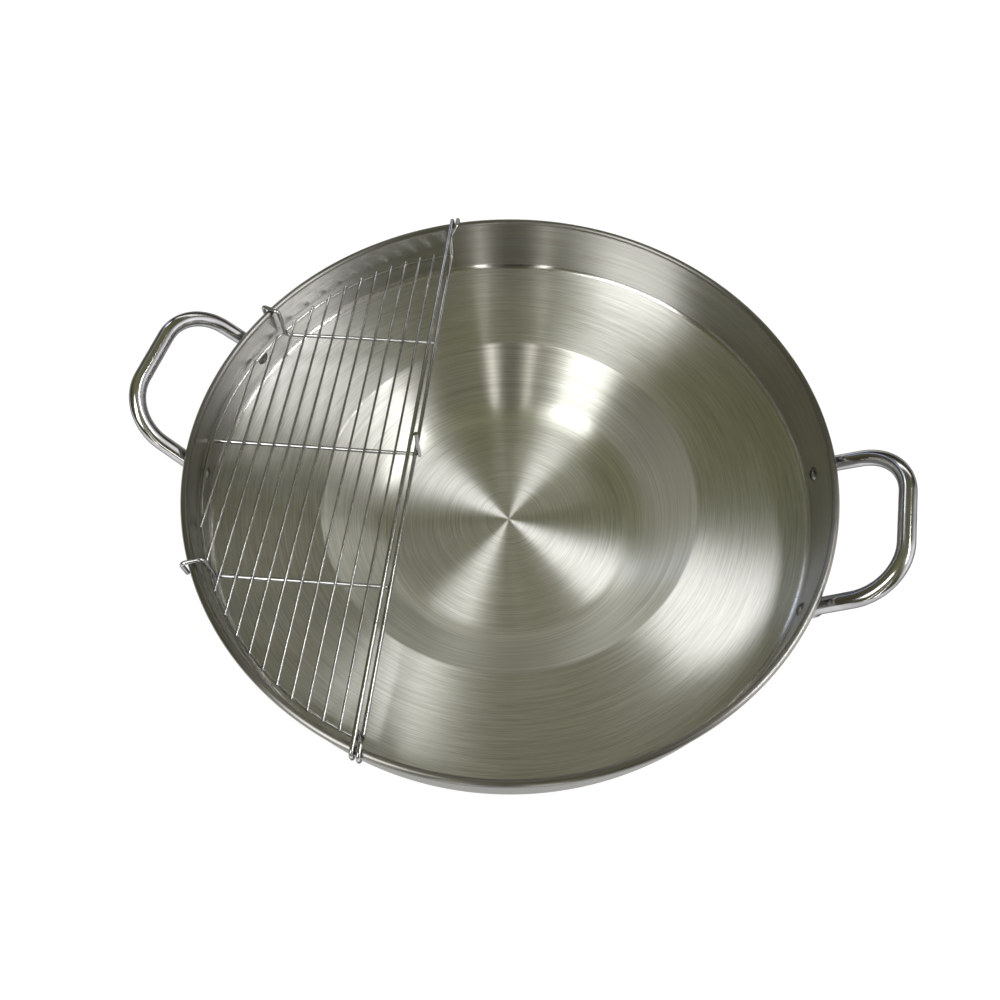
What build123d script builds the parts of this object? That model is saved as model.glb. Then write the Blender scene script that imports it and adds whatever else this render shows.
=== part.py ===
from build123d import *
import os
from math import asin, cos, degrees, hypot, radians, sin, sqrt, tan

# A spun concave comal with two rod handles and a wire draining rack that hangs on its rim.
# Millimetres. The origin is the middle of the pan where it stands, Z is up and X runs through
# both handles. Heights are above the surface that the pan stands on.

# Pan, one spun sheet
pan_diameter = 572.0
pan_height = 132.0
sheet = 1.2
edge_curl_diameter = 6.4
edge_curl_turn = 290.0
well_mouth_diameter = 357.8
well_depth = 59.9
well_slope = 52.0
well_floor_fillet = 38.0
well_mouth_fillet = 3.5
flange_slope = 4.8
wall_fillet = 6.5

# Handles, one bent rod each, riveted behind the wall
rod_diameter = 14.0
handle_beyond_rim = 50.0
handle_above_rim = 36.0
knee_bend = 12.0
grip_spacing = 130.6
grip_bend = 45.0
foot_width = 20.0
foot_thickness = 4.0
foot_shoulder = 5.1
foot_taper = 6.0
foot_neck = 0.6
seat_clearance = 0.1

# Rivets, one through each handle foot
rivet_above_flange = 22.8
rivet_spacing = 137.0
rivet_diameter = 6.0
rivet_head_diameter = 13.0
rivet_head_rise = 3.0
rivet_tail_diameter = 10.0
rivet_tail_rise = 2.0
rivet_clearance = 0.1

# Draining rack, measured from the pan's axis towards the rack, along the rails and up
rack_turn = 8.4
heavy_wire = 3.8
arc_wire = 2.8
light_wire = 2.3
wire_bend = 4.0
weld_gap = 0.05
hang_clearance = 0.3
rail_offset = 87.3
rail_pass = 5.5
rail_pass_run = 9.7
grid_drop = 33.0
rail_tip_drop = 8.0
arc_centre = 9.0
arc_wall_clearance = 1.2
middle_cross_along = 1.0
cross_skew = 5.0
far_riser_gap = 3.1
near_riser_gap = 1.5
hook_turn = 19.0
hook_tip_clearance = 2.1
hook_tip_drop = 18.0
bar_count = 12
first_bar_gap = 18.4
last_bar_gap_far = 16.9
last_bar_gap_near = 15.0
bar_overhang = 1.6

# Sizes that follow from these
rim_radius = pan_diameter / 2
curl_radius = edge_curl_diameter / 2
wall_inside = rim_radius - edge_curl_diameter
wall_outside = wall_inside + sheet
mouth_radius = well_mouth_diameter / 2
mouth_height = sheet + well_depth
wall_foot = mouth_height + (wall_inside - mouth_radius) * tan(radians(flange_slope))
rivet_height = wall_foot + rivet_above_flange
rivet_angle = degrees(asin(rivet_spacing / 2 / wall_inside))
foot_back = wall_outside + seat_clearance
rod_at_foot = foot_back + rod_diameter / 2
grip_reach = rim_radius + handle_beyond_rim - rod_diameter / 2
grip_height = pan_height + handle_above_rim - rod_diameter / 2
rail_height = pan_height + hang_clearance + heavy_wire / 2
grid_height = rail_height - grid_drop
tip_radius = rim_radius + hang_clearance + heavy_wire / 2
arc_middle = wall_inside - arc_wall_clearance - arc_wire / 2
arc_radius = arc_middle - arc_centre
arc_end = rail_offset + heavy_wire / 2 + arc_wire / 6 + weld_gap
first_bar = rail_offset + first_bar_gap


def sheet_line(depth):
    """The cooking face and its curled edge in section, or the same line deeper in the sheet."""
    floor_corner = mouth_radius - well_depth / tan(radians(well_slope))
    corners = [(floor_corner, sheet), (mouth_radius, mouth_height), (wall_inside, wall_foot)]
    slopes = [0, well_slope, flange_slope, 90]
    points = [(0, sheet - depth)]
    for corner, before, after in zip(corners, slopes, slopes[1:]):
        middle = radians(before + after) / 2
        shift = depth / cos(radians(after - before) / 2)
        points.append((corner[0] + shift * sin(middle), corner[1] - shift * cos(middle)))
    points.append((wall_inside + depth, pan_height - curl_radius))
    bends = (well_floor_fillet + depth, well_mouth_fillet - depth, wall_fillet + depth)
    face = FilletPolyline(*points, radius=bends)
    curl = JernArc(face @ 1, (0, 1), curl_radius - depth, -edge_curl_turn)
    return face, curl


def pan_sheet():
    """Half of the sheet's section, from the axis to the cut edge inside the curl."""
    face, face_curl = sheet_line(0)
    back, back_curl = sheet_line(sheet)
    axis = Line(back @ 0, face @ 0)
    cut_edge = Line(face_curl @ 1, back_curl @ 1)
    return Plane.XZ * make_face([axis, face, face_curl, cut_edge, back_curl, back])


def radial_plane(angle, distance, height):
    """A plane that faces straight out from the pan's axis."""
    out = Vector(cos(radians(angle)), sin(radians(angle)), 0)
    return Plane(origin=out * distance + Vector(0, 0, height), x_dir=(-out.Y, out.X, 0), z_dir=out)


def rivet_angles():
    return [middle + side * rivet_angle for middle in (0, 180) for side in (1, -1)]


def pan():
    body = revolve(pan_sheet(), Axis.Z, 360)
    for angle in rivet_angles():
        middle = (wall_inside + wall_outside) / 2
        hole = Cylinder(rivet_diameter / 2 + rivet_clearance, 4 * sheet)
        body -= radial_plane(angle, middle, rivet_height) * hole
    return body


def dome(radius, base, rise):
    """Half section of a round head, from its crown on the axis to its edge."""
    ball = (radius**2 + rise**2) / (2 * abs(rise))
    up = 1 if rise > 0 else -1
    return CenterArc((0, base + rise - up * ball), ball, up * 90, -up * degrees(asin(radius / ball)))


def rivet():
    """Domed head inside the pan, shank through wall and foot, and the closed end outside."""
    shank = rivet_diameter / 2
    length = foot_back + foot_thickness + 2 * seat_clearance - wall_inside
    head = dome(rivet_head_diameter / 2, 0, -rivet_head_rise)
    tail = dome(rivet_tail_diameter / 2, length, rivet_tail_rise)
    steps = Polyline(head @ 1, (shank, 0), (shank, length), tail @ 1)
    axis = Line(tail @ 0, head @ 0)
    return revolve(Plane.XZ * make_face([head, steps, tail, axis]), Axis.Z, 360)


def placed_rivets():
    seat = wall_inside - seat_clearance
    return [radial_plane(angle, seat, rivet_height) * rivet() for angle in rivet_angles()]


def knee_height(start, away, up):
    """Where an upright rod must turn, bending from its start, to head for a corner away and up."""
    half_turn = away / (up + sqrt(up**2 + away * (away - 2 * knee_bend)))
    return start + knee_bend * half_turn


def handle():
    """The rod, whose ends turn down behind the wall and are pressed flat round the rivets."""
    shoulder_height = rivet_height + foot_shoulder
    neck_height = shoulder_height + foot_taper
    bend_start = neck_height + foot_neck
    angle = radians(rivet_angle)
    foot = (rod_at_foot * cos(angle), rod_at_foot * sin(angle))
    corner = (grip_reach, grip_spacing / 2)
    away = hypot(corner[0] - foot[0], corner[1] - foot[1])
    knee = knee_height(bend_start, away, grip_height - bend_start)
    half = [(*foot, neck_height), (*foot, knee), (*corner, grip_height)]
    other_half = [(x, -y, z) for x, y, z in reversed(half)]
    path = FilletPolyline(*half, *other_half, radius=(knee_bend, grip_bend, grip_bend, knee_bend))
    body = sweep(Plane(half[0]) * Circle(rod_diameter / 2), path)
    for side in (1, -1):
        body += handle_foot(side * rivet_angle, shoulder_height, neck_height)
    return body


def handle_foot(angle, shoulder_height, neck_height):
    """A flat tongue with a round end, and the taper where it becomes the rod."""
    out = Vector(cos(radians(angle)), sin(radians(angle)), 0)
    along = (-out.Y, out.X, 0)
    neck = Plane(origin=out * rod_at_foot + Vector(0, 0, neck_height), x_dir=along, z_dir=(0, 0, 1))
    middle = foot_back + foot_thickness / 2
    shoulder = Plane(origin=out * middle + Vector(0, 0, shoulder_height), x_dir=along, z_dir=(0, 0, 1))
    taper = loft([neck * Circle(rod_diameter / 2), shoulder * SlotOverall(foot_width, foot_thickness)])
    outline = Circle(foot_width / 2)
    outline += Pos(0, foot_shoulder / 2) * Rectangle(foot_width, foot_shoulder)
    outline -= Circle(rivet_diameter / 2 + rivet_clearance)
    tongue = extrude(radial_plane(angle, foot_back, rivet_height) * outline, foot_thickness)
    return taper + tongue


def rack_point(out, along, height):
    """A point of the rack, in the pan's frame."""
    turn = radians(rack_turn)
    x = -out * cos(turn) - along * sin(turn)
    y = -out * sin(turn) + along * cos(turn)
    return Vector(x, y, height)


def wire_along(points, diameter):
    """A round wire through points of the rack, with the same bend at each corner."""
    corners = [rack_point(*point) for point in points]
    if len(corners) == 2:
        path = Line(*corners)
    else:
        path = FilletPolyline(*corners, radius=wire_bend)
    start = Plane(origin=corners[0], z_dir=corners[1] - corners[0])
    return sweep(start * Circle(diameter / 2), path)


def rim_crossing(offset):
    """How far along the rails a wire at this offset from the axis has passed the rim."""
    return sqrt(tip_radius**2 - offset**2)


def mirrored_ends(far_end, diameter):
    """A rail whose near end is the mirror image of its far end."""
    near_end = [(out, -along, height) for out, along, height in reversed(far_end)]
    return wire_along(far_end + near_end, diameter)


def top_rail():
    tip = rim_crossing(rail_offset)
    far_end = [(rail_offset, tip, rail_height - rail_tip_drop), (rail_offset, tip, rail_height)]
    return mirrored_ends(far_end, heavy_wire)


def lower_rail():
    """Rises under the top rail at both ends, slips past it and crosses the rim on its inner side."""
    crossing = rail_offset - rail_pass
    tip = rim_crossing(crossing)
    span = arc_span(arc_end, arc_radius)
    far_end = [
        (crossing, tip, rail_height - rail_tip_drop),
        (crossing, tip, rail_height),
        (crossing, span + rail_pass_run, rail_height),
        (rail_offset, span, rail_height - rail_pass),
        (rail_offset, span, grid_height),
    ]
    return mirrored_ends(far_end, heavy_wire)


def rail_post():
    """The short upright welded to the inner side of both rails."""
    out = rail_offset - heavy_wire - weld_gap
    along = middle_cross_along + cross_skew
    low = grid_height - heavy_wire / 2
    high = rail_height + heavy_wire / 2
    return wire_along([(out, along, low), (out, along, high)], heavy_wire)


def arc_span(out, radius):
    """How far along the rails a circle about the arc wire's centre lies, at a distance out."""
    return sqrt(radius**2 - (out - arc_centre) ** 2)


def rack_arc():
    """The wire that follows the wall, from one end of the lower rail to the other."""
    height = grid_height + (heavy_wire - arc_wire) / 2
    span = arc_span(arc_end, arc_radius)
    ends = [rack_point(arc_end, side * span, height) for side in (1, -1)]
    path = ThreePointArc(ends[0], rack_point(arc_middle, 0, height), ends[1])
    return sweep(Plane(origin=path @ 0, z_dir=path % 0) * Circle(arc_wire / 2), path)


def cross_start(along):
    return (rail_offset + heavy_wire / 2 + weld_gap, along + cross_skew, grid_height)


def middle_cross():
    along = middle_cross_along
    edge = along + heavy_wire / 2
    end = arc_centre + sqrt((arc_radius - arc_wire / 2 - weld_gap) ** 2 - edge**2)
    return wire_along([cross_start(along), (end, along, grid_height)], heavy_wire)


def bar_out(number, side):
    """How far out a thin wire meets the arc wire, at its far end (side 1) or near end (side -1)."""
    last_gap = last_bar_gap_far if side > 0 else last_bar_gap_near
    pitch = (arc_middle - last_gap - first_bar) / (bar_count - 1)
    return first_bar + number * pitch


def hooked_cross(side, bar, riser_gap):
    """A cross wire that turns up against the arc wire just outside a bar, then hooks over the rim."""
    root = bar_out(bar, side) + (heavy_wire + light_wire) / 2 + riser_gap
    along = side * arc_span(root, arc_radius - (arc_wire + heavy_wire) / 2 - weld_gap)
    turn = radians(side * hook_turn)
    tip = tip_radius + hook_tip_clearance
    inward = root * cos(turn) + along * sin(turn)
    run = sqrt(inward**2 + tip**2 - root**2 - along**2) - inward
    tip_out = root + run * cos(turn)
    tip_along = along + run * sin(turn)
    points = [
        cross_start(along),
        (root, along, grid_height),
        (root, along, rail_height),
        (tip_out, tip_along, rail_height),
        (tip_out, tip_along, rail_height - hook_tip_drop),
    ]
    return wire_along(points, heavy_wire)


def grid_bar(number):
    """One thin wire, laid on the arc wire and the cross wires."""
    height = grid_height + (heavy_wire + light_wire) / 2
    far_out = bar_out(number, 1)
    near_out = bar_out(number, -1)
    far = Vector(far_out, arc_span(far_out, arc_radius), height)
    near = Vector(near_out, -arc_span(near_out, arc_radius), height)
    overhang = (far - near).normalized() * bar_overhang
    return wire_along([tuple(near - overhang), tuple(far + overhang)], light_wire)


def write(name, shape):
    shape.label = name
    export_step(shape, f"parts/{name}.step")


os.makedirs("parts", exist_ok=True)
write("comal_pan", pan())
right = handle()
write("handle_right", right)
write("handle_left", Rot(0, 0, 180) * right)
write("handle_rivets", Compound(children=placed_rivets()))
write("rack_top_rail", top_rail())
write("rack_lower_rail", lower_rail())
write("rack_post", rail_post())
write("rack_arc", rack_arc())
write("rack_cross_far", hooked_cross(1, bar_count - 3, far_riser_gap))
write("rack_cross_middle", middle_cross())
write("rack_cross_near", hooked_cross(-1, bar_count - 3, near_riser_gap))
for number in range(bar_count):
    write(f"rack_bar_{number + 1:02d}", grid_bar(number))
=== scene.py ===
from math import asin, ceil, copysign, cos, hypot, pi, radians, sin, sqrt, tan

import bpy
from mathutils import Matrix, Vector


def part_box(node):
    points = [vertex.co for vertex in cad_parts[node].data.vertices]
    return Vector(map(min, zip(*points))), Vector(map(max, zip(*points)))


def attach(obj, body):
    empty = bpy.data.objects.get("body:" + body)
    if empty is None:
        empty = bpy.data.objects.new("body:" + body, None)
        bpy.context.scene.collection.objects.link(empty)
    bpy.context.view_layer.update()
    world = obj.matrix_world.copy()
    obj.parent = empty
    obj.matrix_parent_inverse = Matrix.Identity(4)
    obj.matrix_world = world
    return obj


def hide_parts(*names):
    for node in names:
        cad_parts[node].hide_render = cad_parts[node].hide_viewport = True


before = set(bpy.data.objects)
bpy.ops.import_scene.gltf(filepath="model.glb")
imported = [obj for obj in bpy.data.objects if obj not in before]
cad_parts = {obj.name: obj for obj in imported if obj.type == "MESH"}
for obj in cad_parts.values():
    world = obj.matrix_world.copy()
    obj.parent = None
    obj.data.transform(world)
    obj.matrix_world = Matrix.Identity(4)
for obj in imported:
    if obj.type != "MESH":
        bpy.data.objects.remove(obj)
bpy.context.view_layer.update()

# A spun steel comal with two polished rod handles and a bright wire draining rack.
# Metres and degrees. X runs through the handles, Z is up and the pan stands at zero.

# The view of someone who stands at the table and looks down into the pan. Yaw, pitch and roll
# are small turns away from the middle of the well's floor.
SENSOR = 36.0
LENS = 30.51
NEAREST_SEEN = 0.01
VIEW_TURN = 14.17
VIEW_RISE = 62.336
VIEW_DISTANCE = 0.8604
VIEW_YAW = 0.587
VIEW_PITCH = 1.282
VIEW_ROLL = 0.193

# The spun sheet, whose box in the CAD gives the rim and the height
PAN_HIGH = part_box("comal_pan")[1]
RIM_RADIUS = min(PAN_HIGH.x, PAN_HIGH.y)
PAN_HEIGHT = PAN_HIGH.z
SHEET = 0.0012
CURL_RADIUS = 0.0032
CURL_TURN = 290
MOUTH_RADIUS = 0.1789
WELL_DEPTH = 0.0599
WELL_SLOPE = 52
WELL_FLOOR_FILLET = 0.038
MOUTH_FILLET = 0.0035
FLANGE_SLOPE = 4.8
WALL_FILLET = 0.0065
FLOOR_RADIUS = MOUTH_RADIUS - WELL_DEPTH / tan(radians(WELL_SLOPE))
MOUTH_HEIGHT = SHEET + WELL_DEPTH
WALL_INSIDE = RIM_RADIUS - 2 * CURL_RADIUS
WALL_OUTSIDE = WALL_INSIDE + SHEET
WALL_FOOT = MOUTH_HEIGHT + (WALL_INSIDE - MOUTH_RADIUS) * tan(radians(FLANGE_SLOPE))
WALL_TOP = PAN_HEIGHT - CURL_RADIUS
CENTRE_HOLE = 0.00002
PAN_SIDES = 320
BEND_STEP = 5

# The pan's four finishes in order, where the second one begins, and a margin that keeps the
# first face of the curl out of the third
BRUSHED, DRAWN, WALL, OUTER = range(4)
DRAWN_FROM = FLOOR_RADIUS - WELL_FLOOR_FILLET / 3
CURL_MARGIN = 0.0001

# The handles, one bent rod each, with their ends pressed flat behind the wall
HANDLE_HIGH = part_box("handle_right")[1]
ROD_RADIUS = 0.007
KNEE_BEND = 0.012
GRIP_SPACING = 0.1306
GRIP_BEND = 0.045
FOOT_WIDTH = 0.020
FOOT_THICKNESS = 0.004
FOOT_SHOULDER = 0.0051
FOOT_TAPER = 0.006
FOOT_NECK = 0.0006
SEAT_CLEARANCE = 0.0001
RIVET_SPACING = 0.137
RIVET_ABOVE_FLANGE = 0.0228
RIVET_TURN = asin(RIVET_SPACING / 2 / WALL_INSIDE)
RIVET_HEIGHT = WALL_FOOT + RIVET_ABOVE_FLANGE
FOOT_BACK = WALL_OUTSIDE + SEAT_CLEARANCE
ROD_SIDES = 40
TAPER_STEPS = 10
FOOT_END_STEP = 5

# How square a rod's section is: 2 is round, and the pressed foot is almost a rectangle
ROUND = 2
PRESSED = 7

# The rack's wires, and the beads where they are welded. A bead is flat above and below, where a
# small share of its width is left. A wire's end is the part of its mesh within END_REACH of its tip.
RACK_TURN = 8.4
HEAVY_WIRE = 0.0038
LIGHT_WIRE = 0.0023
END_REACH = HEAVY_WIRE / 3
BAR_COUNT = 12
BAR_OVERHANG = 0.0016
WELD_LENGTH = 0.0048
WELD_WIDTH = 0.0030
WELD_HEIGHT = 0.0022
WELD_FLAT = 0.15
WELD_RINGS = 5
WELD_SIDES = 12

# Tones of ringed steel, where the scratches are low and where they are high. The wall's tones are darker, as
# painted shade.
BRUSHED_TONES = ((0.54, 0.54, 0.515), (0.80, 0.80, 0.78))
DRAWN_TONES = ((0.54, 0.54, 0.50), (0.79, 0.79, 0.75))
WALL_TONES_PAINTED_SHADE = ((0.46, 0.455, 0.44), (0.64, 0.635, 0.62))
# The outside's tones, darker still, are painted shade.
OUTER_TONES_PAINTED_SHADE = ((0.19, 0.185, 0.175), (0.29, 0.285, 0.27))

# Tones of bright metal, where it is clean and where it has been handled, and painted shade where it is seen
# edge on
ROD_TONES = ((0.56, 0.56, 0.57), (0.42, 0.42, 0.425))
# The rivets' tones are darker than the rod's as painted shade; their handled patches are wear.
RIVET_TONES_WEAR_AND_PAINTED_SHADE = ((0.34, 0.335, 0.33), (0.18, 0.175, 0.17))
WIRE_TONES = ((0.56, 0.56, 0.57), (0.40, 0.40, 0.405))
PAINTED_EDGE_SHADE = (0.06, 0.06, 0.065)

# Scratches run round the axis, in fine lines with some broad ones. The tangent runs round it too,
# so a quarter turn stretches each highlight across the scratches.
BROAD_SCALE = (0.35, 0.35, 0.22)
BROAD_WEIGHT = 0.25
SCRATCH_RANGE = (0.45, 0.80)
SCRATCH_DEPTH = 0.0002
SCRATCH_ROUGHNESS = 0.04
QUARTER_TURN = 0.25

# Marks of wiping and touching
PATCH_RANGE = (0.35, 0.65)
PATCH_ROUGHNESS = 0.02
PAN_PATCH = 0.09
SPECK_RANGE = (0.62, 0.75)
SPECKS_PER_PATCH = 24.0
SPECK_DEPTH = 0.0001
SPECK_BUMP = 0.08

# The room is dim and warm, and darker towards the floor than overhead. Each part of it is given by
# its direction, half its width, how high it reaches (1 is overhead) and its tone. A later part lies
# over an earlier one, and its sides are soft from half to one and a half times its half width.
ROOM_OVERHEAD = (0.25, 0.25, 0.13)
ROOM_LOW = (0.085, 0.075, 0.05)
ROOM_PARTS = {
    "dark right": (25, 60, 1.2, (0.05, 0.042, 0.025)),
    "dark behind the pan": (110, 20, 1, (0.03, 0.022, 0.015)),
    "dark left": (205, 30, 1.2, (0.06, 0.05, 0.03)),
    "bright right": (5, 24, 1.1, (2.1, 2.05, 2.1)),
    "bluish slit": (139, 3, 1, (0.8, 0.95, 1.5)),
    "dark viewer": (283, 14, 4, (0.015, 0.008, 0.005)),
    "left slit": (272.8, 1.1, 1, (8.0, 7.7, 7.1)),
    "right slit": (293.5, 1.1, 1, (11.5, 11.1, 10.5)),
}
SOFT_FROM = 0.5
SOFT_TO = 1.5

# Lamps, in degrees as the pan sees them: how far round, how high, how wide, how tall and rolled.
# The strip and the tall box make the four bright sectors, and the others add faint ones. A scratch
# program fitted these angles to the photo's tones, apart from the strip's direction and width.
WHITE = (1, 1, 1)
COOL_WHITE = (0.95, 0.97, 1.0)
LAMP_DISTANCE = 2.4
LAMPS = {
    "strip": {"around": 16.5, "rise": 54.1, "wide": 36.0, "tall": 5.0, "roll": 17.4, "watts": 20.0},
    "tall_box": {"around": 234.6, "rise": 52.1, "wide": 21.1, "tall": 44.2, "roll": 11.5, "watts": 25.0},
    "small_lamp": {"around": 134.4, "rise": 33.6, "wide": 8.7, "tall": 8.4, "roll": 14.6, "watts": 1.2},
    "low_strip": {"around": 90.8, "rise": 34.0, "wide": 56.1, "tall": 5.1, "roll": -5.2, "watts": 4.3},
}
LAMP_COLOURS = {"small_lamp": COOL_WHITE}

# The floor
FLOOR_HALF = 12.0
FLOOR_TONE = (0.25, 0.25, 0.25)
FLOOR_ROUGHNESS = 0.9
FLOOR_GLOW = 0.86

# A mix node gives several sockets the same name, so those that mix colours go by number
MIX_MASK, MIX_FIRST, MIX_SECOND, MIX_RESULT = 0, 6, 7, 2


# Meshes

def placed(name, data):
    obj = bpy.data.objects.new(name, data)
    bpy.context.collection.objects.link(obj)
    return obj


def new_piece(name, vertices, faces, body, materials, replaced=None):
    """A smooth mesh that rides on a body and may stand for a CAD node."""
    mesh = bpy.data.meshes.new(name)
    mesh.from_pydata(vertices, [], faces)
    mesh.polygons.foreach_set("use_smooth", [True] * len(faces))
    for material in materials:
        mesh.materials.append(material)
    piece = placed(name, mesh)
    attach(piece, body)
    if replaced:
        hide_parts(replaced)
    return piece


def rounded_line(corners, radii):
    """Points and directions along straight runs whose corners are rounded to the given radii."""
    found = [(corners[0], (corners[1] - corners[0]).normalized())]
    for before, corner, after, radius in zip(corners, corners[1:], corners[2:], radii):
        back = (before - corner).normalized()
        onward = (after - corner).normalized()
        half = back.angle(onward) / 2
        middle = corner + (back + onward).normalized() * (radius / sin(half))
        start = corner + back * (radius / tan(half)) - middle
        axis = start.cross(-back).normalized()
        turn = pi - 2 * half
        count = max(2, ceil(turn / radians(BEND_STEP)))
        for number in range(count + 1):
            spin = Matrix.Rotation(turn * number / count, 3, axis)
            found.append((middle + spin @ start, spin @ -back))
    found.append((corners[-1], (corners[-1] - corners[-2]).normalized()))
    return found


def rings_to_faces(ring_count, sides, first):
    """Four-sided faces between rings of vertices that follow one another in the list."""
    faces = []
    for ring in range(ring_count - 1):
        for number in range(sides):
            following = (number + 1) % sides
            low, high = first + ring * sides, first + (ring + 1) * sides
            faces.append([low + number, low + following, high + following, high + number])
    return faces


# The pan

def sheet_line(depth):
    """The cooking face and its curled edge in section, or the same line deeper in the sheet."""
    corners = [(FLOOR_RADIUS, SHEET), (MOUTH_RADIUS, MOUTH_HEIGHT), (WALL_INSIDE, WALL_FOOT)]
    slopes = [0, WELL_SLOPE, FLANGE_SLOPE, 90]
    points = [Vector((0, 0, SHEET - depth))]
    for corner, before, after in zip(corners, slopes, slopes[1:]):
        middle = radians(before + after) / 2
        shift = depth / cos(radians(after - before) / 2)
        points.append(Vector((corner[0] + shift * sin(middle), 0, corner[1] - shift * cos(middle))))
    points.append(Vector((WALL_INSIDE + depth, 0, WALL_TOP)))
    line = rounded_line(points, (WELL_FLOOR_FILLET + depth, MOUTH_FILLET - depth, WALL_FILLET + depth))
    curl_middle = Vector((RIM_RADIUS - CURL_RADIUS, 0, WALL_TOP))
    radius = CURL_RADIUS - depth
    steps = CURL_TURN // BEND_STEP
    for number in range(1, steps + 1):
        turn = radians(180 - CURL_TURN * number / steps)
        out = Vector((cos(turn), 0, sin(turn)))
        line.append((curl_middle + out * radius, Vector((out.z, 0, -out.x))))
    return line


def spun(line, side, first_vertex):
    """A section line turned about the Z axis. Side is 1 where the steel lies to its right, or -1."""
    vertices, normals, faces = [], [], []
    for point, direction in line:
        normal = Vector((-direction.z, 0, direction.x)) * side
        for number in range(PAN_SIDES):
            spin = Matrix.Rotation(2 * pi * number / PAN_SIDES, 3, "Z")
            vertices.append(spin @ point)
            normals.append(spin @ normal)
    for ring in range(len(line) - 1):
        for number in range(PAN_SIDES):
            following = (number + 1) % PAN_SIDES
            low, high = ring * PAN_SIDES, (ring + 1) * PAN_SIDES
            face = [low + number, high + number, high + following, low + following]
            faces.append([first_vertex + index for index in (face if side > 0 else reversed(face))])
    return vertices, normals, faces


def face_finish(start, end):
    """The finish of a strip of the cooking face, from the strip's two ends in section."""
    if start.z > WALL_FOOT:
        return WALL if end.x < WALL_OUTSIDE and start.z < WALL_TOP - CURL_MARGIN else OUTER
    if DRAWN_FROM < (start.x + end.x) / 2 < MOUTH_RADIUS and start.z < MOUTH_HEIGHT:
        return DRAWN
    return BRUSHED


def pan_sheet(finishes):
    """The sheet as a face, a back and the cut edge inside the curl."""
    face, back = sheet_line(0), sheet_line(SHEET)
    for line in (face, back):
        line[0] = (line[0][0] + Vector((CENTRE_HOLE, 0, 0)), line[0][1])
    across = (back[-1][0] - face[-1][0]).normalized()
    cut_edge = [(face[-1][0], across), (back[-1][0], across)]
    vertices, normals, faces, owners = [], [], [], []
    for line, side in ((face, 1), (back, -1), (cut_edge, 1)):
        more_vertices, more_normals, more_faces = spun(line, side, len(vertices))
        vertices += more_vertices
        normals += more_normals
        faces += more_faces
        for (start, _), (end, _) in zip(line, line[1:]):
            owner = face_finish(start, end) if line is face else OUTER
            owners += [owner] * PAN_SIDES
    pan = new_piece("spun_pan", vertices, faces, "pan", finishes, "comal_pan")
    pan.data.polygons.foreach_set("material_index", owners)
    pan.data.normals_split_custom_set_from_vertices(normals)


# The handles

def rod_rings(line, radius, sides):
    """Round rings carried along a path without twist, with their normals."""
    vertices, normals = [], []
    direction = line[0][1]
    across = direction.orthogonal().normalized()
    for point, onward in line:
        across = direction.rotation_difference(onward) @ across
        direction = onward
        other = onward.cross(across)
        for number in range(sides):
            turn = 2 * pi * number / sides
            normal = across * cos(turn) + other * sin(turn)
            vertices.append(point + normal * radius)
            normals.append(normal)
    return vertices, normals


def handle_path():
    """The rod from its far neck, up the knee, round the grip and back to the near neck."""
    neck = RIVET_HEIGHT + FOOT_SHOULDER + FOOT_TAPER
    bend_start = neck + FOOT_NECK
    distance = FOOT_BACK + ROD_RADIUS
    foot = (distance * cos(RIVET_TURN), distance * sin(RIVET_TURN))
    corner = (HANDLE_HIGH.x - ROD_RADIUS, GRIP_SPACING / 2, HANDLE_HIGH.z - ROD_RADIUS)
    away = hypot(corner[0] - foot[0], corner[1] - foot[1])
    up = corner[2] - bend_start
    knee = bend_start + KNEE_BEND * away / (up + sqrt(up**2 + away * (away - 2 * KNEE_BEND)))
    half = [Vector((*foot, neck)), Vector((*foot, knee)), Vector(corner)]
    other_half = [Vector((point.x, -point.y, point.z)) for point in reversed(half)]
    return rounded_line(half + other_half, (KNEE_BEND, GRIP_BEND, GRIP_BEND, KNEE_BEND))


def blend(first, second, share):
    return first + (second - first) * share


def foot_stations():
    """Down a foot: distance from the axis, height, half width, half thickness and squareness."""
    shoulder = RIVET_HEIGHT + FOOT_SHOULDER
    half_width = FOOT_WIDTH / 2
    half_thickness = FOOT_THICKNESS / 2
    tongue = FOOT_BACK + half_thickness
    stations = []
    for number in range(TAPER_STEPS + 1):
        done = number / TAPER_STEPS
        flat = done * done * (3 - 2 * done)
        distance = blend(FOOT_BACK + ROD_RADIUS, tongue, flat)
        width = blend(ROD_RADIUS, half_width, flat)
        thickness = blend(ROD_RADIUS, half_thickness, flat)
        height = shoulder + FOOT_TAPER * (1 - done)
        stations.append((distance, height, width, thickness, blend(ROUND, PRESSED, flat)))
    for turn in range(0, 90, FOOT_END_STEP):
        height = RIVET_HEIGHT - half_width * sin(radians(turn))
        stations.append((tongue, height, half_width * cos(radians(turn)), half_thickness, PRESSED))
    return stations


def squared(wave, squareness):
    """A cosine or sine that is pushed out towards the corners of a square."""
    return copysign(abs(wave) ** (2 / squareness), wave)


def flat_foot(turn):
    """The pressed end of the rod at an angle round the pan."""
    out = Vector((cos(turn), sin(turn), 0))
    along = Vector((-out.y, out.x, 0))
    vertices = []
    for distance, height, width, thickness, squareness in foot_stations():
        for number in range(ROD_SIDES):
            angle = 2 * pi * number / ROD_SIDES
            across = squared(cos(angle), squareness) * width
            through = squared(sin(angle), squareness) * thickness
            vertices.append(out * (distance - through) + along * across + Vector((0, 0, height)))
    return vertices


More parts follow.
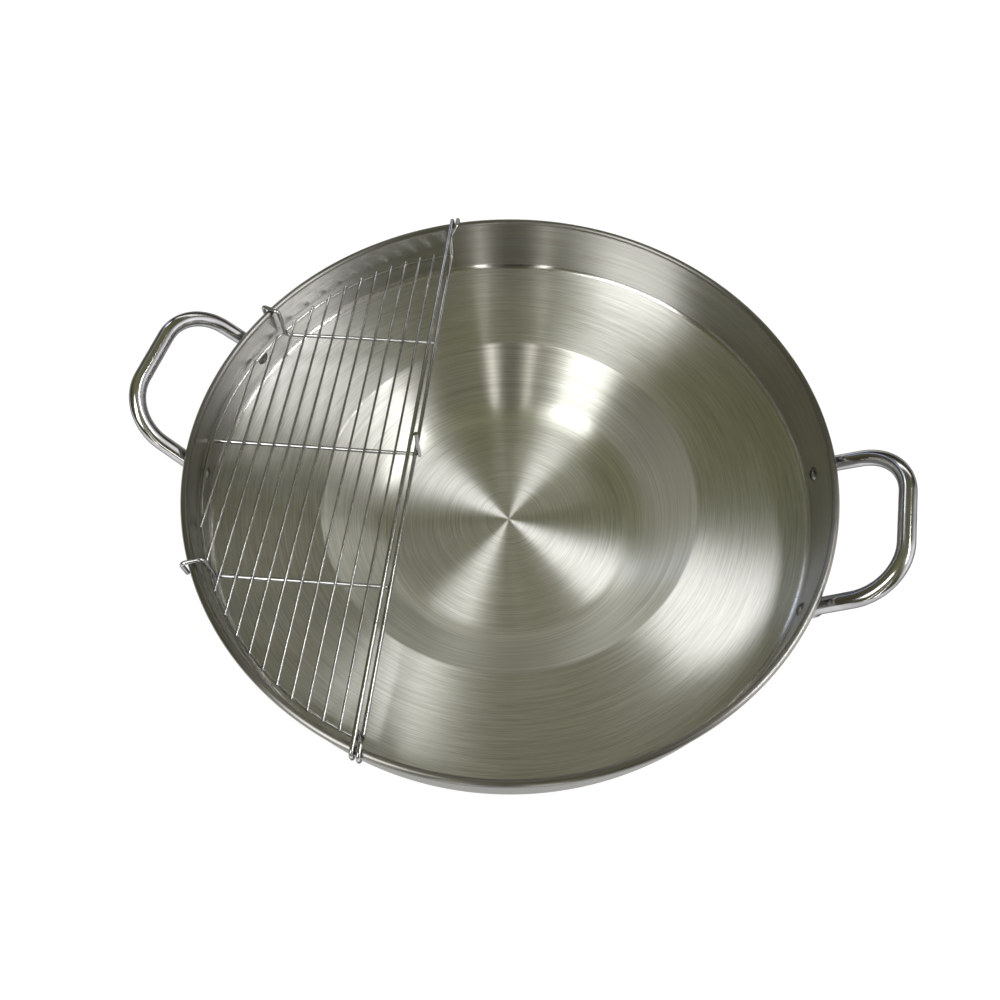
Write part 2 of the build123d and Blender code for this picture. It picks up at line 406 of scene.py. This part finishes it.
def handle(name, node, facing, polished):
    """One handle, as built on the +X side and turned to the side that it faces."""
    line = handle_path()
    vertices, normals = rod_rings(line, ROD_RADIUS, ROD_SIDES)
    faces = rings_to_faces(len(line), ROD_SIDES, 0)
    for turn in (RIVET_TURN, -RIVET_TURN):
        foot = flat_foot(turn)
        faces += rings_to_faces(len(foot) // ROD_SIDES, ROD_SIDES, len(vertices))
        vertices += foot
        faces.append(list(range(len(vertices) - ROD_SIDES, len(vertices))))
    spin = Matrix.Rotation(radians(facing), 3, "Z")
    vertices = [spin @ vertex for vertex in vertices]
    piece = new_piece(name, vertices, faces, "pan", [polished], node)
    shading = [Vector(normal.vector) for normal in piece.data.vertex_normals]
    shading[:len(normals)] = [spin @ normal for normal in normals]
    piece.data.normals_split_custom_set_from_vertices(shading)


# The rack's welds

def rack_axes():
    """The directions out under the rack's cross wires and along its grid wires."""
    turn = radians(RACK_TURN)
    return Vector((-cos(turn), -sin(turn), 0)), Vector((-sin(turn), cos(turn), 0))


def wire_ends(node, direction, level=None):
    """The two ends of a straight wire's centre line, or of its level run, from its CAD mesh."""
    points = [Vector(vertex.co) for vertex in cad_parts[node].data.vertices]
    if level is not None:
        points = [point for point in points if abs(point.z - level) < HEAVY_WIRE / 2]
    ends = []
    for pick in (min, max):
        limit = pick(point.dot(direction) for point in points)
        near = [point for point in points if abs(point.dot(direction) - limit) < END_REACH]
        ends.append(sum(near, Vector()) / len(near))
    return ends


def crossing(wire, other):
    """Where a straight wire crosses another, seen from above, at the first one's height."""
    start, run = wire[0], wire[1] - wire[0]
    other_start, other_run = other[0], other[1] - other[0]
    turn = run.x * other_run.y - run.y * other_run.x
    gap_x, gap_y = other_start.x - start.x, other_start.y - start.y
    share = (gap_x * other_run.y - gap_y * other_run.x) / turn
    other_share = (gap_x * run.y - gap_y * run.x) / turn
    if 0 <= share <= 1 and 0 <= other_share <= 1:
        return start + run * share
    return None


def weld_bead(place, direction):
    """A small flattened bead that lies along a wire, as rings round its upright axis."""
    across = Vector((-direction.y, direction.x, 0))
    vertices = []
    for ring in range(WELD_RINGS):
        lift = pi * (ring / (WELD_RINGS - 1) - 0.5)
        height = Vector((0, 0, sin(lift) * WELD_HEIGHT / 2))
        for number in range(WELD_SIDES):
            turn = 2 * pi * number / WELD_SIDES
            flat = direction * (cos(turn) * WELD_LENGTH / 2) + across * (sin(turn) * WELD_WIDTH / 2)
            vertices.append(place + flat * max(cos(lift), WELD_FLAT) + height)
    faces = rings_to_faces(WELD_RINGS, WELD_SIDES, 0)
    faces.append(list(range(WELD_SIDES))[::-1])
    faces.append(list(range((WELD_RINGS - 1) * WELD_SIDES, WELD_RINGS * WELD_SIDES)))
    return vertices, faces


def rack_welds(plated):
    """A bead at each crossing of a thin wire with a cross wire, and near the thin wire's two ends."""
    out, along = rack_axes()
    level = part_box("rack_cross_middle")[0].z + HEAVY_WIRE / 2
    crosses = [wire_ends(f"rack_cross_{place}", out, level) for place in ("far", "middle", "near")]
    drop = Vector((0, 0, LIGHT_WIRE / 2))
    beads = []
    for number in range(1, BAR_COUNT + 1):
        bar = wire_ends(f"rack_bar_{number:02d}", along)
        direction = (bar[1] - bar[0]).normalized()
        places = [crossing(bar, cross) for cross in crosses]
        places += [bar[0] + direction * BAR_OVERHANG, bar[1] - direction * BAR_OVERHANG]
        beads += [(place - drop, direction) for place in places if place is not None]
    vertices, faces = [], []
    for place, direction in beads:
        more_vertices, more_faces = weld_bead(place, direction)
        faces += [[len(vertices) + index for index in face] for face in more_faces]
        vertices += more_vertices
    new_piece("rack_welds", vertices, faces, "rack", [plated])


# Node helpers

def new_node(tree, kind, **settings):
    node = tree.nodes.new(kind)
    for name, value in settings.items():
        setattr(node, name, value)
    return node


def joined(tree, kind, inputs, **settings):
    """A node with its inputs filled, by a link where the value is a socket."""
    node = new_node(tree, kind, **settings)
    for key, value in inputs.items():
        if isinstance(value, bpy.types.NodeSocket):
            tree.links.new(value, node.inputs[key])
        else:
            node.inputs[key].default_value = value
    return node


def maths(tree, operation, first, second=0.0, third=0.0):
    return joined(tree, "ShaderNodeMath", {0: first, 1: second, 2: third}, operation=operation).outputs[0]


def vectors(tree, operation, inputs, output="Vector"):
    return joined(tree, "ShaderNodeVectorMath", inputs, operation=operation).outputs[output]


def flattened(tree, vector):
    """The vector without its Z part."""
    return vectors(tree, "MULTIPLY", {0: vector, 1: (1, 1, 0)})


def noise(tree, vector, scale=1.0, detail=2.0, roughness=0.5):
    inputs = {"Vector": vector, "Scale": scale, "Detail": detail, "Roughness": roughness}
    return joined(tree, "ShaderNodeTexNoise", inputs).outputs["Fac"]


def spread(tree, value, low, high, new_low=0, new_high=1):
    """A value from low to high becomes new_low to new_high, and is held at the ends."""
    inputs = {"Value": value, "From Min": low, "From Max": high, "To Min": new_low, "To Max": new_high}
    return joined(tree, "ShaderNodeMapRange", inputs).outputs[0]


def between(tree, mask, first, second):
    """The first colour, a value or a socket, where the mask is 0 and the second where it is 1."""
    under = first if isinstance(first, bpy.types.NodeSocket) else (*first, 1)
    inputs = {MIX_MASK: mask, MIX_FIRST: under, MIX_SECOND: (*second, 1)}
    return joined(tree, "ShaderNodeMix", inputs, data_type="RGBA").outputs[MIX_RESULT]


def seen_by(tree, *rays):
    """1 for the named kinds of ray, and 0 for all others."""
    path = new_node(tree, "ShaderNodeLightPath")
    seen = path.outputs[rays[0]]
    for ray in rays[1:]:
        seen = maths(tree, "MAXIMUM", seen, path.outputs[ray])
    return seen


def new_group(name, inputs, outputs):
    """An empty group with its named numbers in and out, and the two nodes that hold them."""
    tree = bpy.data.node_groups.new(name, "ShaderNodeTree")
    for label, value in inputs.items():
        socket = tree.interface.new_socket(name=label, in_out="INPUT", socket_type="NodeSocketFloat")
        socket.default_value = value
    for label in outputs:
        tree.interface.new_socket(name=label, in_out="OUTPUT", socket_type="NodeSocketFloat")
    return tree, tree.nodes.new("NodeGroupInput"), tree.nodes.new("NodeGroupOutput")


def use_group(tree, group, **values):
    """The group as a node, with patch_size for its input Patch Size and so on."""
    node = new_node(tree, "ShaderNodeGroup", node_tree=group)
    for name, value in values.items():
        node.inputs[name.replace("_", " ").title()].default_value = value
    return node


def spun_rings_group():
    """Fine scratches round the Z axis, as arcs of a given length and spacing."""
    inputs = {"Ring Pitch": 0.001, "Arc Length": 0.06}
    tree, given, made = new_group("spun_rings", inputs, ("Height", "Tone"))
    place = new_node(tree, "ShaderNodeTexCoord").outputs["Object"]
    axes = joined(tree, "ShaderNodeSeparateXYZ", {0: place})
    flat = flattened(tree, place)
    radius = vectors(tree, "LENGTH", {0: flat}, "Value")
    around = vectors(tree, "NORMALIZE", {0: flat})
    lines = maths(tree, "DIVIDE", maths(tree, "ADD", radius, axes.outputs["Z"]), given.outputs["Ring Pitch"])
    turns = maths(tree, "DIVIDE", radius, given.outputs["Arc Length"])
    arcs = joined(tree, "ShaderNodeSeparateXYZ", {0: vectors(tree, "SCALE", {0: around, 3: turns})})
    rolled = {0: arcs.outputs[0], 1: arcs.outputs[1], 2: lines}
    fine = joined(tree, "ShaderNodeCombineXYZ", rolled).outputs[0]
    broad = vectors(tree, "MULTIPLY", {0: fine, 1: BROAD_SCALE})
    fine_lines = noise(tree, fine, detail=3.0, roughness=0.65)
    broad_lines = noise(tree, broad, detail=2.0, roughness=0.5)
    height = maths(tree, "MULTIPLY_ADD", broad_lines, BROAD_WEIGHT, fine_lines)
    tree.links.new(height, made.inputs["Height"])
    tree.links.new(spread(tree, height, *SCRATCH_RANGE), made.inputs["Tone"])
    return tree


def handling_marks_group():
    """Soft patches and fine specks that wiping and touching leave on bright metal."""
    tree, given, made = new_group("handling_marks", {"Patch Size": 0.05}, ("Patches", "Specks"))
    place = new_node(tree, "ShaderNodeTexCoord").outputs["Object"]
    scale = maths(tree, "DIVIDE", 1.0, given.outputs["Patch Size"])
    soft = noise(tree, place, scale, detail=3.0, roughness=0.6)
    fine = noise(tree, place, maths(tree, "MULTIPLY", scale, SPECKS_PER_PATCH), detail=2.0, roughness=0.5)
    tree.links.new(spread(tree, soft, *PATCH_RANGE), made.inputs["Patches"])
    tree.links.new(spread(tree, fine, *SPECK_RANGE), made.inputs["Specks"])
    return tree


# Finishes

def new_metal(name, roughness, anisotropy=0.0):
    material = bpy.data.materials.new(name)
    material.use_nodes = True
    tree = material.node_tree
    shader = tree.nodes["Principled BSDF"]
    shader.inputs["Metallic"].default_value = 1.0
    shader.inputs["Roughness"].default_value = roughness
    shader.inputs["Anisotropic"].default_value = anisotropy
    return material, tree, shader


def ringed_steel(name, groups, tones, roughness, ring_pitch, arc_length, bump, anisotropy=1.0):
    """Steel with scratches round the axis, so that each lamp shows on it as a bright sector."""
    rings, marks = groups
    material, tree, shader = new_metal(name, roughness, anisotropy)
    shader.inputs["Anisotropic Rotation"].default_value = QUARTER_TURN
    tangent = new_node(tree, "ShaderNodeTangent", direction_type="RADIAL", axis="Z")
    tree.links.new(tangent.outputs[0], shader.inputs["Tangent"])
    lines = use_group(tree, rings, ring_pitch=ring_pitch, arc_length=arc_length)
    patches = use_group(tree, marks, patch_size=PAN_PATCH)
    tone = lines.outputs["Tone"]
    tree.links.new(between(tree, tone, *tones), shader.inputs["Base Color"])
    worn = spread(tree, patches.outputs["Patches"], 0, 1, roughness - PATCH_ROUGHNESS, roughness)
    tree.links.new(maths(tree, "MULTIPLY_ADD", tone, SCRATCH_ROUGHNESS, worn), shader.inputs["Roughness"])
    relief = {"Strength": bump, "Distance": SCRATCH_DEPTH, "Height": lines.outputs["Height"]}
    tree.links.new(joined(tree, "ShaderNodeBump", relief).outputs[0], shader.inputs["Normal"])
    return material


def polished_steel(name, marks, tones, patch_size, smooth, worn):
    """Bright rod or wire with faint handling marks, and painted shade at its edges."""
    material, tree, shader = new_metal(name, smooth)
    # A near-black tint where the metal is seen edge on is painted shade.
    shader.inputs["Specular Tint"].default_value = (*PAINTED_EDGE_SHADE, 1)
    patches = use_group(tree, marks, patch_size=patch_size)
    tone = patches.outputs["Patches"]
    tree.links.new(between(tree, tone, *tones), shader.inputs["Base Color"])
    tree.links.new(spread(tree, tone, 0, 1, smooth, worn), shader.inputs["Roughness"])
    relief = {"Strength": SPECK_BUMP, "Distance": SPECK_DEPTH, "Height": patches.outputs["Specks"]}
    tree.links.new(joined(tree, "ShaderNodeBump", relief).outputs[0], shader.inputs["Normal"])
    return material


def brushed_steel(groups):
    """The well's floor and the flange."""
    sizes = {"roughness": 0.39, "ring_pitch": 0.0007, "arc_length": 0.04, "bump": 0.1}
    return ringed_steel("brushed_steel", groups, BRUSHED_TONES, **sizes)


def drawn_steel(groups):
    """The well's side, with longer and wider scratches."""
    sizes = {"roughness": 0.33, "ring_pitch": 0.0016, "arc_length": 0.12, "bump": 0.06}
    return ringed_steel("drawn_steel", groups, DRAWN_TONES, **sizes)


def wall_steel_painted_shade(groups):
    """The inside of the wall, which mirrors the room in upright streaks. Its darker tones are painted shade.
    """
    sizes = {"roughness": 0.20, "ring_pitch": 0.0012, "arc_length": 0.09, "bump": 0.03}
    return ringed_steel("wall_steel_painted_shade", groups, WALL_TONES_PAINTED_SHADE, **sizes)


def outer_steel_painted_shade(groups):
    """The curl and all of the outside, whose dark tones are painted shade."""
    sizes = {"roughness": 0.32, "ring_pitch": 0.0012, "arc_length": 0.08, "bump": 0.06}
    return ringed_steel("outer_steel_painted_shade", groups, OUTER_TONES_PAINTED_SHADE, anisotropy=0.7, **sizes)


def polished_rod(marks):
    return polished_steel("polished_rod", marks, ROD_TONES, patch_size=0.03, smooth=0.1, worn=0.18)


# The rivets' dark tones are painted shade.
def rivet_steel_painted_shade(marks):
    return polished_steel("rivet_steel_painted_shade", marks, RIVET_TONES_WEAR_AND_PAINTED_SHADE, patch_size=0.008, smooth=0.1, worn=0.2)


def plated_wire(marks):
    return polished_steel("plated_wire", marks, WIRE_TONES, patch_size=0.02, smooth=0.1, worn=0.2)


def dress(node, material):
    """A CAD node keeps its shape and gets the finish."""
    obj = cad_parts[node]
    obj.data.materials.clear()
    obj.data.materials.append(material)


# Floor, lamps, room and view

def white_floor():
    """A plain floor that is white to the camera, in bright metal and through clear parts."""
    signs = ((-1, -1), (1, -1), (1, 1), (-1, 1))
    mesh = bpy.data.meshes.new("floor")
    mesh.from_pydata([(x * FLOOR_HALF, y * FLOOR_HALF, 0) for x, y in signs], [], [(0, 1, 2, 3)])
    floor = placed("floor", mesh)
    material = bpy.data.materials.new("white_floor")
    material.use_nodes = True
    tree = material.node_tree
    shader = tree.nodes["Principled BSDF"]
    shader.inputs["Base Color"].default_value = (*FLOOR_TONE, 1)
    shader.inputs["Roughness"].default_value = FLOOR_ROUGHNESS
    shader.inputs["Specular IOR Level"].default_value = 0.0
    shader.inputs["Emission Color"].default_value = (*WHITE, 1)
    seen = seen_by(tree, "Is Camera Ray", "Is Glossy Ray", "Is Transmission Ray")
    tree.links.new(maths(tree, "MULTIPLY", seen, FLOOR_GLOW), shader.inputs["Emission Strength"])
    mesh.materials.append(material)


def softbox(name, around, rise, wide, tall, roll, watts):
    """A lamp that faces the pan, placed and sized by angles as the pan sees it."""
    data = bpy.data.lights.new(name, "AREA")
    data.shape = "RECTANGLE"
    data.size = 2 * LAMP_DISTANCE * tan(radians(wide / 2))
    data.size_y = 2 * LAMP_DISTANCE * tan(radians(tall / 2))
    data.energy = watts
    data.color = LAMP_COLOURS.get(name, WHITE)
    lamp = placed(name, data)
    turn, lift = radians(around), radians(rise)
    out = Vector((cos(lift) * cos(turn), cos(lift) * sin(turn), sin(lift)))
    side = Matrix.Rotation(radians(roll), 3, out) @ Vector((-sin(turn), cos(turn), 0))
    facing = Matrix((side, out.cross(side), out)).transposed().to_4x4()
    lamp.matrix_world = Matrix.Translation(out * LAMP_DISTANCE) @ facing


def toward(tree, level_way, around, half_width):
    """1 in a direction round the horizon, and softly 0 beside it."""
    way = (cos(radians(around)), sin(radians(around)), 0)
    share = vectors(tree, "DOT_PRODUCT", {0: level_way, 1: way}, "Value")
    return spread(tree, share, cos(radians(SOFT_TO * half_width)), cos(radians(SOFT_FROM * half_width)))


def dim_room():
    """The world, which is white to the camera and through clear parts, and a dim room in metal."""
    world = bpy.data.worlds.new("room")
    bpy.context.scene.world = world
    world.use_nodes = True
    tree = world.node_tree
    way = new_node(tree, "ShaderNodeTexCoord").outputs["Generated"]
    rise = joined(tree, "ShaderNodeSeparateXYZ", {0: way}).outputs["Z"]
    level_way = vectors(tree, "NORMALIZE", {0: flattened(tree, way)})
    tone = between(tree, spread(tree, rise, 0, 1), ROOM_LOW, ROOM_OVERHEAD)
    for around, half_width, reach, part_tone in ROOM_PARTS.values():
        lowness = spread(tree, rise, 0, reach, 1, 0)
        mask = maths(tree, "MULTIPLY", toward(tree, level_way, around, half_width), lowness)
        tone = between(tree, mask, tone, part_tone)
    seen = seen_by(tree, "Is Camera Ray", "Is Transmission Ray")
    tree.links.new(between(tree, seen, tone, WHITE), tree.nodes["Background"].inputs["Color"])


def place_camera():
    """The camera on the viewer's side, aimed near the middle of the well's floor."""
    data = bpy.data.cameras.new("camera")
    data.sensor_width = SENSOR
    data.lens = LENS
    data.clip_start = NEAREST_SEEN
    camera = placed("camera", data)
    rise = radians(VIEW_RISE)
    turned = Matrix.Rotation(radians(VIEW_TURN), 3, "Z")
    away = turned @ Vector((0, -cos(rise), sin(rise)))
    aim = turned @ Matrix.Rotation(pi / 2 - rise, 3, "X")
    for angle, axis in ((VIEW_YAW, "Y"), (VIEW_PITCH, "X"), (VIEW_ROLL, "Z")):
        aim = aim @ Matrix.Rotation(radians(angle), 3, axis)
    place = Vector((0, 0, SHEET)) + away * VIEW_DISTANCE
    camera.matrix_world = Matrix.Translation(place) @ aim.to_4x4()
    bpy.context.scene.camera = camera


def build():
    marks = handling_marks_group()
    groups = (spun_rings_group(), marks)
    finishes = [brushed_steel(groups), drawn_steel(groups), wall_steel_painted_shade(groups), outer_steel_painted_shade(groups)]
    polished = polished_rod(marks)
    rivet_painted_shade = rivet_steel_painted_shade(marks)
    plated = plated_wire(marks)
    pan_sheet(finishes)
    handle("right_handle", "handle_right", 0, polished)
    handle("left_handle", "handle_left", 180, polished)
    dress("handle_rivets", rivet_painted_shade)
    rack_welds(plated)
    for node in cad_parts:
        if node.startswith("rack_"):
            dress(node, plated)


build()
white_floor()
for lamp_name, lamp_settings in LAMPS.items():
    softbox(lamp_name, **lamp_settings)
dim_room()
place_camera()
bpy.context.scene.view_settings.view_transform = "Standard"
